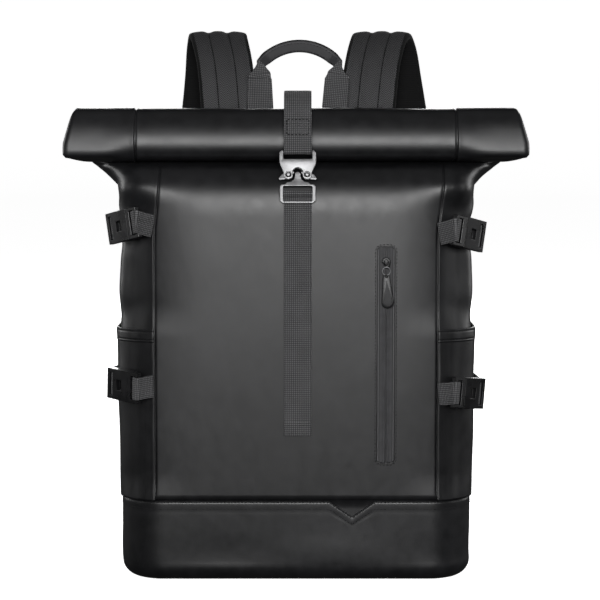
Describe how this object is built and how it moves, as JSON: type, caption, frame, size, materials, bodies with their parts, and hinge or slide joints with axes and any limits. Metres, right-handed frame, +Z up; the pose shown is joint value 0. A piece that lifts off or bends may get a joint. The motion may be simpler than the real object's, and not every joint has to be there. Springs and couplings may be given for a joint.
{
  "type": "rolltop backpack",
  "caption": "Standing rolltop backpack of dark coated fabric with a rolled top, metal front clasp, side compression straps, handle and padded shoulder straps.",
  "frame": {"origin": "middle of the flat underside of the base boot", "axes": "+Z up, -Y towards the front with the clasp and the zip, +X to the right seen from the front"},
  "size_m": [0.406, 0.1962, 0.4875],
  "materials": {
    "coated_fabric": "matte rubberised coating",
    "zip_tape": "matte coated tape",
    "webbing": "plain woven webbing",
    "pad_fabric": "twill over foam",
    "black_plastic": "moulded, slightly glossy",
    "satin_metal": "satin"
  },
  "bodies": {
    "root": {"body_shell": "coated_fabric", "base_boot": "coated_fabric", "side_pocket_left": "coated_fabric", "side_pocket_right": "coated_fabric", "zip_window": "zip_tape", "zip_slider": "black_plastic", "zip_ring": "satin_metal", "zip_pull": "black_plastic", "front_strap_upper": "webbing", "front_strap_lower": "webbing", "clasp_housing": "satin_metal", "clasp_tongue": "satin_metal", "clasp_rivet_left": "satin_metal", "clasp_rivet_right": "satin_metal", "handle_grip": "coated_fabric", "handle_tab_left": "webbing", "handle_tab_right": "webbing", "shoulder_strap_left": "pad_fabric", "shoulder_strap_right": "pad_fabric", "strap_webbing_left": "webbing", "strap_webbing_right": "webbing", "strap_adjuster_left": "black_plastic", "strap_adjuster_right": "black_plastic", "strap_anchor_left": "webbing", "strap_anchor_right": "webbing", "side_web_front_upper_left": "webbing", "side_web_back_upper_left": "webbing", "side_buckle_prong_upper_left": "black_plastic", "side_buckle_socket_upper_left": "black_plastic", "side_web_front_upper_right": "webbing", "side_web_back_upper_right": "webbing", "side_buckle_prong_upper_right": "black_plastic", "side_buckle_socket_upper_right": "black_plastic", "side_web_front_lower_left": "webbing", "side_web_back_lower_left": "webbing", "side_buckle_prong_lower_left": "black_plastic", "side_buckle_socket_lower_left": "black_plastic", "side_web_front_lower_right": "webbing", "side_web_back_lower_right": "webbing", "side_buckle_prong_lower_right": "black_plastic", "side_buckle_socket_lower_right": "black_plastic"},
    "lever_left": {"clasp_lever_left": "satin_metal"},
    "lever_right": {"clasp_lever_right": "satin_metal"}
  },
  "joints": [
    {"name": "clasp_lever_left_turn", "type": "hinge", "parent": "root", "child": "lever_left", "pos_m": [-0.0066, -0.0628, 0.3575], "axis": [0, -0.9703, 0.2419], "range_deg": [0, 12], "stiffness_Nm_per_rad": 0.005},
    {"name": "clasp_lever_right_turn", "type": "hinge", "parent": "root", "child": "lever_right", "pos_m": [0.0096, -0.0628, 0.3575], "axis": [0, 0.9703, -0.2419], "range_deg": [0, 12], "stiffness_Nm_per_rad": 0.005}
  ]
}
